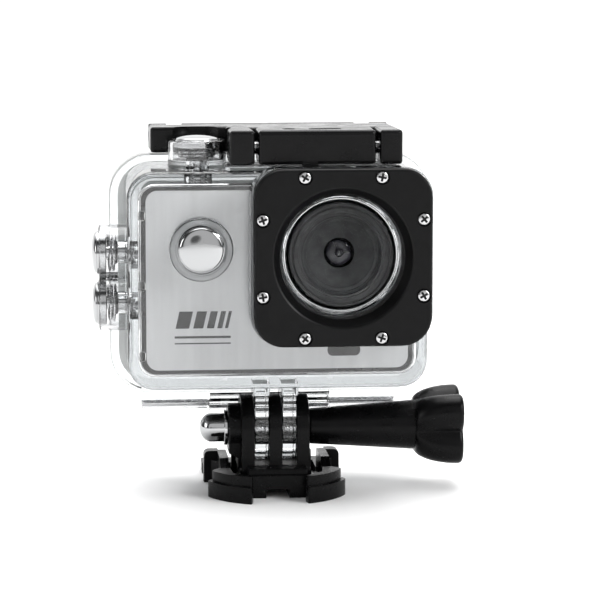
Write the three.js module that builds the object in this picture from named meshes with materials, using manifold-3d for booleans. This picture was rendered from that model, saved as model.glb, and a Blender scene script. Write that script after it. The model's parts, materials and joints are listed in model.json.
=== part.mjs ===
// Action camera in a clear waterproof housing, standing on a quick-release buckle.
// Millimetres, +Z up. The lens looks along -Y and the tilt axis runs along X.
import * as THREE from "three";
import { mergeVertices } from "three/addons/utils/BufferGeometryUtils.js";
import Module from "manifold-3d";

const wasm = await Module();
wasm.setup();

// ---------------------------------------------------------------- driving dimensions
const GAP = 0.3; // clearance round a pin, a stem or any other running fit
const CUT = 0.5; // how far a cutting solid runs past the face that it opens

const PIVOT_Z = 13.8; // tilt axis over the buckle's underside
const FINGER = { width: 2.9, pitch: 3.1, radius: 7.5, bore: 2.75 };
const LENS = { x: 13.6, z: 54.9 }; // optical axis, parallel to Y

const CAMERA = { width: 60.2, height: 41.8, front: -11.1, back: 9.4, z: 49, corner: 3.2, wall: 1.4 };
const FRONT_PLATE = { width: 58, height: 39.8, front: -12, back: -11.15, corner: 2.6 };
const BACK_COVER = { front: 9.5, back: 12.5, pocketDepth: 1.5 };
const SCREEN = { x: -2, width: 42, height: 32, thickness: 1.2 };
const BARREL = { radius: 11.5, tail: 8, front: -17.3, step: -9.4, back: 0.5, glassSeat: -15.9 };
const BATTERY = { x: -11.35, y: 2.5, width: 29.3, depth: 9.4, height: 35.3 };

const SHELL = { width: 66.4, bottom: 24.9, top: 73.3, front: -15.2, back: 13.5, corner: 6 };
const CAVITY = { width: 61.6, bottom: 27.7, top: 70.5, front: -12.6, corner: 3.8 };
const FLANGE = { width: 73, bottom: 20.2, top: 75.1, front: 9.5, corner: 9.5 };
const LENS_BOX = { width: 40, height: 39, front: -20.2, corner: 6.5, windowBore: 14.6, ledge: -17.4, bore: 13.2 };
const WINDOW = { radius: 14.4, front: -20.15, back: -18.1 };
const BEZEL = { width: 39, front: -23.2, back: -20.3, corner: 6.5, holeBack: 13.8, holeFront: 15.2 };
const SCREW = { head: 1.3, headHeight: 0.8, shank: 0.6, tip: -16.5, near: 8.4, far: 17.6 };

const DOOR = { front: 14, back: 17, panelBack: 18.2, panelWidth: 54, panelHeight: 38 };
const DOOR_SEAL = { inset: 2, width: 1.5, front: 13.6, back: 14.9 };
const DOOR_HINGE = { y: 15.8, z: 16.8, knuckle: 2.1, pin: 0.8, inner: 13.8, outer: 29.3 };
const LATCH_HINGE = { y: 15.6, z: 78.6, lug: 2.6, knuckle: 2.9, pin: 0.9, lugX: 21.5, lugWidth: 3 };
const LATCH = {
  bottom: 75.9, frontBottom: 74.6, top: 82.2, rearTop: 81.5, front: -15.4, barFront: -2.3, left: -27.3, right: 27.4,
};
const PRONGS = [[-10.6, -5.1], [22.4, 27.4]]; // x ranges of the two arms that carry the lever
const LEVER = { left: -4.3, right: 21.5, pinY: -7.4, pinZ: 78.1, pin: 1, heel: 3.55 };
const NOSE = { left: 5.2, right: 8.8, depth: 1.2, bottom: 73.5, room: 0.5, roomBottom: 73, roomFront: -16.3 };
const PLATFORM = { left: -11.6, right: 28.4, front: -13.2, back: -1.5, top: 74.2 };

const BASE = { width: 16, depth: 17, height: 5.6, skirt: 2.6, rear: 22, railWidth: 30.8, railFront: 15.6 };
const TONGUE = { width: 13.2, front: -13.3, height: 6.6, notchWidth: 5.2, notchHeight: 2 };
const ARM = { x: 11.4, hingeY: 17, width: 2, front: -10, low: 2.6, high: 7.3, lip: 3.6 };
const NUT = { boss: 5.5, bossLeft: -10.4, flange: 4, dome: 3.25, flangeWidth: 0.8, tip: -16.8, depth: 4 };
const BOLT = { radius: 2.4, left: -13.9, right: 19.5 };
const KNOB = {
  left: 7.9, right: 42.6, neck: 4, waist: 5.6, headX: 31.8, valley: 6.4, tip: 9.7, rim: 1, lobes: 4, turn: 0.9,
};

const PLUNGER = { stem: 1.5, groove: 1, hole: 1.8, clip: 2.6, pocket: 3.2, coil: 3.9, wire: 0.3, ring: 0.4 };
const TOWARDS = { up: [0, 0], front: [Math.PI / 2, 0], left: [0, -Math.PI / 2] }; // turns about X and Y
// Each push button of the housing. Heights are measured outwards from the housing's outer face.
const BUTTONS = [
  {
    name: "shutter", at: [-17.2, -3, SHELL.top], facing: "up", wall: SHELL.top - CAVITY.top,
    boss: 6.5, rim: 6, floor: 1.7, cap: 5.1, underside: 4.3, edge: 6.1, apex: 7.1, reach: 0,
  },
  {
    name: "power", at: [-17.1, SHELL.front, 56.5], facing: "front", wall: CAVITY.front - SHELL.front,
    boss: 7, rim: 3.4, floor: 0.4, cap: 5.1, underside: 2.4, edge: 3.8, apex: 4.7, reach: 0,
  },
  ...[["up", 54.1], ["down", 42.7]].map(([name, z]) => ({
    name, at: [-SHELL.width / 2, -1, z], facing: "left", wall: (SHELL.width - CAVITY.width) / 2,
    boss: 6.2, rim: 6, floor: 1.7, cap: 4.9, underside: 4.3, edge: 6.5, apex: 7.7, reach: 0.15,
  })),
];

// ---------------------------------------------------------------- materials
const material = (color, roughness, metalness = 0, opacity = 1) =>
  new THREE.MeshStandardMaterial({
    color, roughness, metalness, opacity, transparent: opacity < 1, flatShading: true,
  });
const CLEAR = material(0xe9eff1, 0.06, 0, 0.3);
const GLASS = material(0xdfe8ee, 0.03, 0, 0.25);
const BLACK_PLASTIC = material(0x17181a, 0.5);
const GREY_PLASTIC = material(0x3b3d40, 0.5);
const SILVER = material(0xb9bcbe, 0.38, 0.85);
const CHROME = material(0xd9dbdd, 0.12, 1);
const STEEL = material(0x9fa2a5, 0.3, 1);
const RUBBER = material(0x242526, 0.85);
const SILICONE = material(0xd8dbda, 0.7);
const LENS_GLASS = material(0x26303c, 0.05);
const BOARD = material(0x1f5a37, 0.6);
const SCREEN_GLASS = material(0x0c0e12, 0.1);

// ---------------------------------------------------------------- building solids
const X = new THREE.Vector3(1, 0, 0);
const Y = new THREE.Vector3(0, 1, 0);
const Z = new THREE.Vector3(0, 0, 1);

// A closed three.js geometry as a solid that can be cut and joined.
function solid(geometry) {
  const bare = geometry.clone();
  bare.deleteAttribute("normal");
  bare.deleteAttribute("uv");
  const merged = mergeVertices(bare, 1e-4);
  return new wasm.Manifold(
    new wasm.Mesh({
      numProp: 3,
      vertProperties: merged.attributes.position.array,
      triVerts: new Uint32Array(merged.index.array),
    }),
  );
}

// A flat shape swept along an axis. The shape is drawn in (y, z), (x, z) or (x, y).
const SWEEP = {
  x: new THREE.Matrix4().makeBasis(Y, Z, X),
  y: new THREE.Matrix4().makeBasis(X, Z, Y.clone().negate()),
  z: new THREE.Matrix4(),
};
function slab(axis, shape, from, to, curveSegments = 4) {
  const depth = to - from;
  const geometry = new THREE.ExtrudeGeometry(shape, { depth, curveSegments, bevelEnabled: false });
  geometry.applyMatrix4(SWEEP[axis]);
  const start = { x: [from, 0, 0], y: [0, to, 0], z: [0, 0, from] }[axis];
  return solid(geometry.translate(...start));
}

const polygon = (points) => new THREE.Shape(points.map(([u, v]) => new THREE.Vector2(u, v)));

function circle(u, v, radius) {
  return new THREE.Shape().absarc(u, v, radius, 0, 2 * Math.PI);
}

function roundedRect(u, v, width, height, corner) {
  const [du, dv] = [width / 2 - corner, height / 2 - corner];
  const shape = new THREE.Shape();
  [[1, -1], [1, 1], [-1, 1], [-1, -1]].forEach(([su, sv], i) => {
    const start = (i - 1) * (Math.PI / 2);
    shape.absarc(u + su * du, v + sv * dv, corner, start, start + Math.PI / 2);
  });
  return shape;
}

// A block of the given width and z range with rounded corners, as seen from the front.
const upright = (width, bottom, top, corner, x = 0) =>
  roundedRect(x, (bottom + top) / 2, width, top - bottom, corner);

const rod = (axis, radius, from, to, u, v, segments = 24) =>
  slab(axis, circle(u, v, radius), from, to, segments / 2);

function box(x0, x1, y0, y1, z0, z1) {
  const geometry = new THREE.BoxGeometry(x1 - x0, y1 - y0, z1 - z0);
  return solid(geometry.translate((x0 + x1) / 2, (y0 + y1) / 2, (z0 + z1) / 2));
}

// A (radius, height) profile turned about Z, then placed. It runs counter-clockwise.
function turned(profile, placing = new THREE.Matrix4(), segments = 24) {
  const points = profile.map(([r, h]) => new THREE.Vector2(r, h));
  const geometry = new THREE.LatheGeometry(points, segments);
  return solid(geometry.rotateX(Math.PI / 2).applyMatrix4(placing));
}

// Points of a quarter ellipse from (radius, low) on the rim to (0, high) on the axis.
function dome(radius, low, high, steps = 4) {
  return Array.from({ length: steps + 1 }, (_, i) => {
    const angle = (i / steps) * (Math.PI / 2);
    return [i === steps ? 0 : radius * Math.cos(angle), low + (high - low) * Math.sin(angle)];
  });
}

const join = (...solids) => solids.reduce((all, next) => all.add(next));
const cut = (body, ...tools) => tools.reduce((left, tool) => left.subtract(tool), body);

function mesh(name, body, look) {
  const made = body.getMesh();
  const geometry = new THREE.BufferGeometry();
  geometry.setAttribute("position", new THREE.BufferAttribute(made.vertProperties, 3));
  geometry.setIndex(new THREE.BufferAttribute(made.triVerts, 1));
  geometry.computeVertexNormals();
  const result = new THREE.Mesh(geometry, look);
  result.name = name;
  return result;
}

function group(...children) {
  const result = new THREE.Group();
  result.add(...children);
  return result;
}

// Turns +Z of a turned solid to the front, on an axis through (x, z).
const facingFront = (x, z) =>
  new THREE.Matrix4().makeTranslation(x, 0, z).multiply(new THREE.Matrix4().makeRotationX(Math.PI / 2));

function buttonPlacing({ at, facing }) {
  const [aboutX, aboutY] = TOWARDS[facing];
  const turn = new THREE.Matrix4().makeRotationFromEuler(new THREE.Euler(aboutX, aboutY, 0));
  return new THREE.Matrix4().makeTranslation(...at).multiply(turn);
}

// ---------------------------------------------------------------- buckle and tilt joint
// A finger that is round about the tilt axis and runs straight to its root.
function fingerShape(radius, rootZ) {
  const rises = rootZ > PIVOT_Z;
  const start = rises ? Math.PI : 0;
  const end = rises ? radius : -radius;
  const shape = new THREE.Shape().absarc(0, PIVOT_Z, radius, start, start + Math.PI);
  shape.lineTo(end, rootZ);
  return shape.lineTo(-end, rootZ);
}

function buckleBase() {
  const { width, depth, height, skirt, rear, railWidth, railFront } = BASE;
  const half = width / 2;
  const root = height - CUT;
  const finger = (from, to) => slab("x", fingerShape(FINGER.radius, root), from, to, 10);
  const outerTo = 2 * FINGER.pitch + FINGER.width / 2;
  const outerFrom = outerTo - FINGER.width;
  const body = join(
    box(-half, half, -depth / 2, depth / 2, 0, height),
    box(-TONGUE.width / 2, TONGUE.width / 2, TONGUE.front, 0, 0, height),
    box(-TONGUE.width / 2, TONGUE.width / 2, TONGUE.front, -depth / 2, 0, TONGUE.height),
    box(-half, half, 0, railFront + CUT, 0, skirt),
    box(-railWidth / 2, railWidth / 2, railFront, rear, 0, skirt),
    finger(-FINGER.width / 2, FINGER.width / 2),
    finger(-outerTo, -outerFrom),
    finger(outerFrom, outerTo),
    rod("x", NUT.boss, NUT.bossLeft, -outerFrom, 0, PIVOT_Z),
  );
  const notch = TONGUE.notchWidth / 2;
  const tools = [
    box(-notch, notch, TONGUE.front - CUT, TONGUE.front + 3, -CUT, TONGUE.notchHeight),
    rod("x", FINGER.bore, NUT.bossLeft - CUT, outerTo + CUT, 0, PIVOT_Z),
  ];
  for (const side of [-1, 1]) {
    const pocket = ARM.width / 2 + GAP;
    const x = side * ARM.x;
    tools.push(
      rod("z", pocket, -CUT, skirt + CUT, x, ARM.hingeY),
      box(x - pocket, x + pocket, railFront - CUT, ARM.hingeY, -CUT, skirt + CUT),
    );
  }
  return cut(body, ...tools);
}

// One sprung arm with its locking barb and thumb pad. It turns about a vertical axis at its root.
function releaseArm(side) {
  const { x, hingeY, width, front, low, high, lip } = ARM;
  const outline = (points) => polygon(points.map(([px, py]) => [side * px, py]));
  const strip = new THREE.Shape().absarc(side * x, hingeY, width / 2, 0, Math.PI);
  strip.lineTo(side * x - width / 2, front);
  strip.lineTo(side * x + width / 2, front);
  const wall = [side * (x - width / 2), side * (x + width / 2)].sort((a, b) => a - b);
  const [inner, outer] = [x - width / 2, x + width / 2];
  const barb = outline([[outer - CUT, 9], [15.4, 8.8], [15.6, 7.4], [outer - CUT, 4]]);
  const inside = [[5.8, -17.2], [9.9, -13.6], [inner, -11], [inner, -7.6]];
  const pad = outline([[outer, -7.6], [15.3, -9.5], [11.6, -15.2], [6, -19.8], ...inside]);
  const backrest = outline([[outer, -7.6], [14.3, -9.2], [10.9, -14.4], [6.1, -18.4], ...inside]);
  return join(
    slab("z", strip, 0, low),
    box(...wall, front, 8, 0, high),
    slab("z", barb, 0, high),
    slab("z", pad, 0, lip),
    slab("z", backrest, 0, high),
  );
}

function capNut() {
  const right = NUT.bossLeft - 0.1;
  const seat = right - NUT.flangeWidth;
  const profile = [
    [0, -right], [NUT.flange, -right], [NUT.flange, -seat], [NUT.dome, -seat],
    ...dome(NUT.dome, -seat + 2.6, -NUT.tip),
  ];
  const placing = new THREE.Matrix4().makeTranslation(0, 0, PIVOT_Z);
  placing.multiply(new THREE.Matrix4().makeRotationY(-Math.PI / 2));
  const bore = rod("x", BOLT.radius + GAP, right - NUT.depth, right + CUT, 0, PIVOT_Z);
  return cut(turned(profile, placing), bore);
}

const thumbScrewBolt = () => rod("x", BOLT.radius, BOLT.left, BOLT.right, 0, PIVOT_Z);

// A slim neck that widens into a head with four lobes and scoops between them.
function thumbScrewKnob() {
  const { left, right, neck, waist, headX, valley, tip, rim, lobes, turn } = KNOB;
  const stations = [[left, neck], [headX, waist]];
  for (const share of [0.06, 0.16, 0.3, 0.5, 0.75]) {
    stations.push([THREE.MathUtils.lerp(headX, right - rim, share), waist]);
  }
  stations.push([right - rim, waist], [right - 0.3 * rim, waist - 0.3 * rim], [right, waist - rim]);
  const points = [[left, 0], ...stations, [right, 0]].map(([h, r]) => new THREE.Vector2(r, h));
  const geometry = new THREE.LatheGeometry(points, 56).rotateZ(-Math.PI / 2);
  const place = geometry.attributes.position;
  for (let i = 0; i < place.count; i++) {
    const [x, y, z] = [place.getX(i), place.getY(i), place.getZ(i)];
    if (x <= headX || Math.hypot(y, z) < CUT) {
      place.setZ(i, z + PIVOT_Z);
      continue;
    }
    const share = Math.min((x - headX) / (right - rim - headX), 1);
    const flare = Math.sqrt(1 - (1 - share) ** 2);
    const crest = ((1 + Math.cos(lobes * (Math.atan2(z, y) - turn))) / 2) ** 0.6;
    const scale = 1 + (flare * (valley - waist + (tip - valley) * crest)) / waist;
    place.setXYZ(i, x, y * scale, z * scale + PIVOT_Z);
  }
  return cut(solid(geometry), rod("x", BOLT.radius + GAP, left - CUT, BOLT.right + CUT, 0, PIVOT_Z));
}

// ---------------------------------------------------------------- housing
const screwPlaces = [];
for (const su of [-1, 1]) {
  for (const sv of [-1, 1]) {
    screwPlaces.push([LENS.x + su * SCREW.near, LENS.z + sv * SCREW.far]);
    screwPlaces.push([LENS.x + su * SCREW.far, LENS.z + sv * SCREW.near]);
  }
}
const screwHoles = (radius, from, to) => screwPlaces.map(([x, z]) => rod("y", radius, from, to, x, z, 12));
const lensRod = (radius, from, to, segments = 40) => rod("y", radius, from, to, LENS.x, LENS.z, segments);

// The boss that a plunger slides in, and the stepped hole through it.
function buttonBoss(button) {
  const profile = [[0, -1], [button.boss, -1], [button.boss, button.rim], [0, button.rim]];
  return turned(profile, buttonPlacing(button), 28);
}
function buttonHole(button) {
  const { pocket, hole } = PLUNGER;
  const inside = -button.wall;
  const bore = button.cap + GAP;
  const profile = [
    [0, inside - CUT], [pocket, inside - CUT], [pocket, inside + 1.35], [hole, inside + 1.35],
    [hole, button.floor], [bore, button.floor], [bore, button.rim + CUT], [0, button.rim + CUT],
  ];
  return turned(profile, buttonPlacing(button), 28);
}

// The middle knuckle of the door hinge, on a web under the flange.
function shellKnuckle() {
  const { y, z, knuckle, inner, pin } = DOOR_HINGE;
  const web = polygon([
    [10.5, 21], [13.4, 21], [13.4, 19.6], [y, z + knuckle], [y, z - knuckle], [13.6, 15.9], [10.5, 19.5],
  ]);
  const body = join(rod("x", knuckle, -inner, inner, y, z, 20), slab("x", web, -inner, inner));
  return cut(body, rod("x", pin + GAP, -inner - CUT, inner + CUT, y, z, 16));
}

function housingFrontShell() {
  const fingerRoot = SHELL.bottom + 1;
  const fingers = [-1, 1].map((side) => {
    const middle = side * FINGER.pitch;
    const [from, to] = [middle - FINGER.width / 2 - 0.05, middle + FINGER.width / 2 + 0.05];
    return slab("x", fingerShape(FINGER.radius - 0.2, fingerRoot), from, to, 10);
  });
  const roots = [[-5.1, -1.3], [1.3, 5.1]].map(([from, to]) => box(from, to, -7.3, 7.3, 22, fingerRoot));
  const { left, right, front, back, top } = PLATFORM;
  const outer = join(
    slab("y", upright(SHELL.width, SHELL.bottom, SHELL.top, SHELL.corner), SHELL.front, SHELL.back),
    slab("y", upright(FLANGE.width, FLANGE.bottom, FLANGE.top, FLANGE.corner), FLANGE.front, SHELL.back),
    slab(
      "y",
      roundedRect(LENS.x, LENS.z, LENS_BOX.width, LENS_BOX.height, LENS_BOX.corner),
      LENS_BOX.front,
      SHELL.front + 1,
    ),
    box(left, right, front, back, SHELL.top - 1, top),
    shellKnuckle(),
    ...fingers,
    ...roots,
    ...BUTTONS.map(buttonBoss),
  );
  return cut(
    outer,
    slab("y", upright(CAVITY.width, CAVITY.bottom, CAVITY.top, CAVITY.corner), CAVITY.front, SHELL.back + CUT),
    lensRod(LENS_BOX.windowBore, LENS_BOX.front - CUT, LENS_BOX.ledge),
    lensRod(LENS_BOX.bore, LENS_BOX.ledge - CUT, CAVITY.front + CUT),
    ...screwHoles(SCREW.shank + GAP, LENS_BOX.front - CUT, SCREW.tip + CUT),
    rod("x", FINGER.bore, -2 * FINGER.pitch, 2 * FINGER.pitch, 0, PIVOT_Z),
    box(
      NOSE.left - NOSE.room, NOSE.right + NOSE.room, NOSE.roomFront, LATCH.front + NOSE.depth + NOSE.room,
      NOSE.roomBottom, PLATFORM.top + CUT,
    ),
    ...BUTTONS.map(buttonHole),
  );
}

function lensBezel() {
  const { width, front, back, corner, holeBack, holeFront } = BEZEL;
  const slope = (holeFront - holeBack) / (back - front);
  const profile = [
    [0, -back - CUT], [holeBack - slope * CUT, -back - CUT],
    [holeFront + slope * CUT, -front + CUT], [0, -front + CUT],
  ];
  return cut(
    slab("y", roundedRect(LENS.x, LENS.z, width, width, corner), front, back, 5),
    turned(profile, facingFront(LENS.x, LENS.z), 44),
    ...screwHoles(SCREW.head + 0.25, front - CUT, front + 1),
    ...screwHoles(SCREW.shank + GAP, front, back + CUT),
  );
}

// A countersunk head with a cross recess is reduced to a flat head on a plain shank.
function bezelScrew([x, z]) {
  const { head, headHeight, shank, tip } = SCREW;
  const profile = [
    [0, -tip], [shank, -tip], [shank, -BEZEL.front - headHeight], [head, -BEZEL.front - headHeight],
    [head, -BEZEL.front - 0.2], [head - 0.2, -BEZEL.front], [0, -BEZEL.front],
  ];
  return turned(profile, facingFront(x, z), 14);
}

const lensWindow = () => lensRod(WINDOW.radius, WINDOW.front, WINDOW.back);
const windowSeal = () =>
  cut(
    lensRod(WINDOW.radius, WINDOW.back + 0.05, LENS_BOX.ledge - 0.05),
    lensRod(LENS_BOX.bore + 0.2, WINDOW.back - CUT, LENS_BOX.ledge + CUT),
  );

// A square ring that follows the flange, inset from its outer edge.
function flangeRing(inset, width, front, back) {
  const ring = (by, from, to) => {
    const { width: w, bottom, top, corner } = FLANGE;
    return slab("y", upright(w - 2 * by, bottom + by, top - by, corner - by), from, to);
  };
  return cut(ring(inset, front, back), ring(inset + width, front - CUT, back + CUT));
}
const doorSeal = () => flangeRing(DOOR_SEAL.inset, DOOR_SEAL.width, DOOR_SEAL.front, DOOR_SEAL.back);

function rearDoor() {
  const { front, back, panelBack, panelWidth, panelHeight } = DOOR;
  const hinge = DOOR_HINGE;
  const latch = LATCH_HINGE;
  const middleZ = (FLANGE.bottom + FLANGE.top) / 2;
  const web = polygon([[front, 21], [back, 21], [17.6, 17.5], [14.2, 17.5]]);
  const pieces = [
    slab("y", upright(FLANGE.width, FLANGE.bottom, FLANGE.top, FLANGE.corner), front, back),
    slab("y", roundedRect(0, middleZ + 1.4, panelWidth, panelHeight, 4), back - CUT, panelBack),
  ];
  for (const side of [-1, 1]) {
    const knuckle = [side * (hinge.inner + GAP), side * hinge.outer].sort((a, b) => a - b);
    const lugMiddle = side * latch.lugX;
    const lug = [lugMiddle - latch.lugWidth / 2, lugMiddle + latch.lugWidth / 2];
    pieces.push(
      rod("x", hinge.knuckle, ...knuckle, hinge.y, hinge.z, 20),
      slab("x", web, ...knuckle),
      rod("x", latch.lug, ...lug, latch.y, latch.z, 20),
      box(...lug, front, back, FLANGE.top - 1, latch.z),
    );
  }
  const { inset, width } = DOOR_SEAL;
  return cut(
    join(...pieces),
    flangeRing(inset - 0.2, width + 0.4, front - CUT, front + 1),
    rod("x", hinge.pin + GAP, -FLANGE.width / 2, FLANGE.width / 2, hinge.y, hinge.z, 16),
    rod("x", latch.pin + GAP, -FLANGE.width / 2, FLANGE.width / 2, latch.y, latch.z, 16),
  );
}

const doorHingePin = () => rod("x", DOOR_HINGE.pin, -29, 29, DOOR_HINGE.y, DOOR_HINGE.z, 14);

// ---------------------------------------------------------------- latch
function latchFrame() {
  const { bottom, frontBottom, top, rearTop, front, barFront, left, right } = LATCH;
  const { y, z, knuckle, pin, lugX, lugWidth } = LATCH_HINGE;
  const profile = new THREE.Shape();
  profile.moveTo(front, frontBottom);
  profile.lineTo(barFront - 1, frontBottom);
  profile.lineTo(barFront, bottom);
  profile.lineTo(y - 1.1, bottom);
  profile.absarc(y, z, knuckle, -Math.PI / 2, Math.PI / 2);
  profile.lineTo(y - 2, rearTop);
  profile.lineTo(front + 1, top);
  profile.lineTo(front, top - 0.6);
  const [leftProng, rightProng] = PRONGS;
  const rear = y + knuckle;
  const plan = polygon([
    [left, 2.6], [leftProng[0], 2.6], [leftProng[0], front], [leftProng[1], front], [leftProng[1], barFront],
    [rightProng[0], barFront], [rightProng[0], front], [rightProng[1], front], [right, 8],
    [right - 0.7, rear], [left, rear],
  ]);
  const body = slab("x", profile, left, right, 8).intersect(slab("z", plan, frontBottom - 1, top + 1));
  const [bossX, bossY] = BUTTONS[0].at;
  const slot = lugWidth / 2 + GAP;
  return cut(
    body,
    rod("z", BUTTONS[0].boss + 1.1, frontBottom - 1, top + 1, bossX, bossY, 40),
    rod("x", pin + GAP, left - CUT, right + CUT, y, z, 16),
    rod("x", LEVER.pin + GAP, leftProng[0] - CUT, right + CUT, LEVER.pinY, LEVER.pinZ, 16),
    box(-lugX - slot, -lugX + slot, y - 3.2, rear + CUT, bottom - 1, top + 1),
    box(lugX - slot, lugX + slot, y - 3.2, rear + CUT, bottom - 1, top + 1),
  );
}

// The flip lever: a flat plate that turns on a pin, with a nose that drops into a recess in the housing.
function latchLever() {
  const { left, right, pinY, pinZ, pin, heel } = LEVER;
  const { frontBottom: bottom, top, front } = LATCH;
  const start = Math.asin((bottom - pinZ) / heel);
  const profile = new THREE.Shape();
  profile.moveTo(front, top - 0.8);
  profile.lineTo(front, bottom);
  profile.absarc(pinY, pinZ, heel, -Math.PI - start, 0);
  profile.lineTo(pinY + 3.8, pinZ + 1.4);
  profile.lineTo(pinY + 3.8, top - 1.2);
  profile.lineTo(pinY + 2.4, top);
  profile.lineTo(front + 1, top);
  const nose = box(NOSE.left, NOSE.right, front, front + NOSE.depth, NOSE.bottom, bottom + 1);
  return cut(
    join(slab("x", profile, left, right, 6), nose),
    rod("x", pin + GAP, left - CUT, right + CUT, pinY, pinZ, 16),
  );
}

const latchHingePin = () => rod("x", LATCH_HINGE.pin, -25, 25, LATCH_HINGE.y, LATCH_HINGE.z, 14);
const latchLeverPin = () => rod("x", LEVER.pin, PRONGS[0][0] + 1, PRONGS[1][1] - 1, LEVER.pinY, LEVER.pinZ, 14);

// ---------------------------------------------------------------- housing push buttons, each along its own +Z
const grooveFloor = (button) => 0.35 - button.wall;

function plunger(button) {
  const { stem, groove } = PLUNGER;
  const { cap, underside, edge, apex, reach, wall } = button;
  const low = grooveFloor(button);
  return turned([
    [0, -wall - reach], [stem, -wall - reach], [stem, low], [groove, low], [groove, low + 0.8],
    [stem, low + 0.8], [stem, underside], [cap, underside], ...dome(cap, edge, apex, 5),
  ]);
}

class Coil extends THREE.Curve {
  constructor(radius, low, high, turns) {
    super();
    Object.assign(this, { radius, low, high, turns });
  }
  getPoint(t) {
    const angle = 2 * Math.PI * this.turns * t;
    const height = this.low + (this.high - this.low) * t;
    return new THREE.Vector3(this.radius * Math.cos(angle), this.radius * Math.sin(angle), height);
  }
}

function plungerSpring({ floor, underside }) {
  const { coil, wire } = PLUNGER;
  const inset = wire + 0.1;
  const extrudePath = new Coil(coil, floor + inset, underside - inset, 2);
  const round = polygon([0, 1, 2, 3, 4, 5].map((i) => {
    const angle = (i * Math.PI) / 3;
    return [wire * Math.cos(angle), wire * Math.sin(angle)];
  }));
  return solid(new THREE.ExtrudeGeometry(round, { steps: 32, bevelEnabled: false, extrudePath }));
}

function plungerSeal({ floor }) {
  const { stem, ring } = PLUNGER;
  const middle = [stem + GAP + ring, floor + ring + 0.05];
  const profile = Array.from({ length: 9 }, (_, i) => {
    const angle = (i * Math.PI) / 4;
    return [middle[0] + ring * Math.cos(angle), middle[1] + ring * Math.sin(angle)];
  });
  profile[8] = profile[0];
  return turned(profile, undefined, 20);
}

// An open retaining ring in the groove of the stem.
function plungerClip(button) {
  const { clip, groove } = PLUNGER;
  const open = Math.PI / 6;
  const shape = new THREE.Shape().absarc(0, 0, clip, open, 2 * Math.PI - open);
  shape.absarc(0, 0, groove + 0.25, 2 * Math.PI - open, open, true);
  const low = grooveFloor(button) + 0.15;
  return slab("z", shape, low, low + 0.5, 8);
}

function pushButton(button) {
  const { name } = button;
  const assembly = group(
    mesh(`${name}_plunger`, plunger(button), CHROME),
    mesh(`${name}_spring`, plungerSpring(button), STEEL),
    mesh(`${name}_plunger_seal`, plungerSeal(button), RUBBER),
    mesh(`${name}_retaining_clip`, plungerClip(button), STEEL),
  );
  assembly.applyMatrix4(buttonPlacing(button));
  return assembly;
}

// ---------------------------------------------------------------- camera, about its own centre height
const lensZ = LENS.z - CAMERA.z;
const power = { x: BUTTONS[1].at[0], z: BUTTONS[1].at[2] - CAMERA.z };
const shutter = { x: BUTTONS[0].at[0], y: BUTTONS[0].at[1] };
const sideButtons = BUTTONS.slice(2).map(({ name, at }) => ({ name, y: at[1], z: at[2] - CAMERA.z }));
const PORTS = [
  { name: "usb_socket", y0: 2.6, y1: 5.2, z0: -7, z1: 0.8, depth: 5.8 },
  { name: "hdmi_socket", y0: -1.4, y1: 1.4, z0: -6, z1: 0.5, depth: 6.3 },
  { name: "memory_card", y0: 6.4, y1: 7.1, z0: -9, z1: 2, depth: 14.7 },
];
const PORT_FACE = CAMERA.width / 2 - 0.4;

function cameraCase() {
  const { width, height, front, back, corner, wall } = CAMERA;
  const side = width / 2;
  const top = height / 2;
  const { x, y, width: cell, depth } = BATTERY;
  const openings = PORTS.map(({ y0, y1, z0, z1 }) =>
    box(side - wall - CUT, side + CUT, y0 - GAP, y1 + GAP, z0 - GAP, z1 + GAP),
  );
  return cut(
    slab("y", roundedRect(0, 0, width, height, corner), front, back),
    slab("y", roundedRect(0, 0, width - 2 * wall, height - 2 * wall, corner - wall), front + wall, back + CUT),
    rod("y", BARREL.radius + GAP, front - CUT, front + wall + CUT, LENS.x, lensZ, 36),
    rod("y", 4.8, front - CUT, front + wall + CUT, power.x, power.z),
    rod("z", 3.8, top - wall - CUT, top + CUT, shutter.x, shutter.y),
    ...sideButtons.map((b) => rod("x", 3, -side - CUT, -side + wall + CUT, b.y, b.z)),
    box(x - cell / 2 - 0.8, x + cell / 2 + 0.8, y - depth / 2 - 0.7, y + depth / 2 + 0.7, -top - CUT, -top + wall + CUT),
    ...openings,
  );
}

function cameraFrontPlate() {
  const { width, height, front, back, corner } = FRONT_PLATE;
  return cut(
    slab("y", roundedRect(0, 0, width, height, corner), front, back),
    rod("y", BARREL.radius + GAP, front - CUT, back + CUT, LENS.x, lensZ, 36),
    rod("y", 4.8, front - CUT, back + CUT, power.x, power.z),
  );
}

function cameraBackCover() {
  const { width, height, corner } = CAMERA;
  const { front, back, pocketDepth } = BACK_COVER;
  const pocket = roundedRect(SCREEN.x, 0, SCREEN.width + 2 * GAP, SCREEN.height + 2 * GAP, 1);
  return cut(
    slab("y", roundedRect(0, 0, width, height, corner), front, back),
    slab("y", pocket, back - pocketDepth, back + CUT),
  );
}

function lcdScreen() {
  const back = BACK_COVER.back - 0.1;
  return slab("y", roundedRect(SCREEN.x, 0, SCREEN.width, SCREEN.height, 0.8), back - SCREEN.thickness, back);
}

// A stepped barrel with a seat for its glass and a black cone in front of the lens.
function lensBarrel() {
  const { radius, tail, front, step, back, glassSeat } = BARREL;
  const profile = [
    [0, -back], [tail, -back], [tail, -step], [radius, -step], [radius, -front], [8.9, -front],
    [8.9, -glassSeat], [8, -glassSeat], [3.6, 12], [3.6, 9], [0, 9],
  ];
  return turned(profile, facingFront(LENS.x, lensZ), 36);
}

const lensCoverGlass = () => rod("y", 8.6, -16.6, -16, LENS.x, lensZ, 32);
const lensElement = () =>
  turned([[0, 9.2], [3.3, 9.2], ...dome(3.3, 11.2, 12.6)], facingFront(LENS.x, lensZ), 24);

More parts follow.
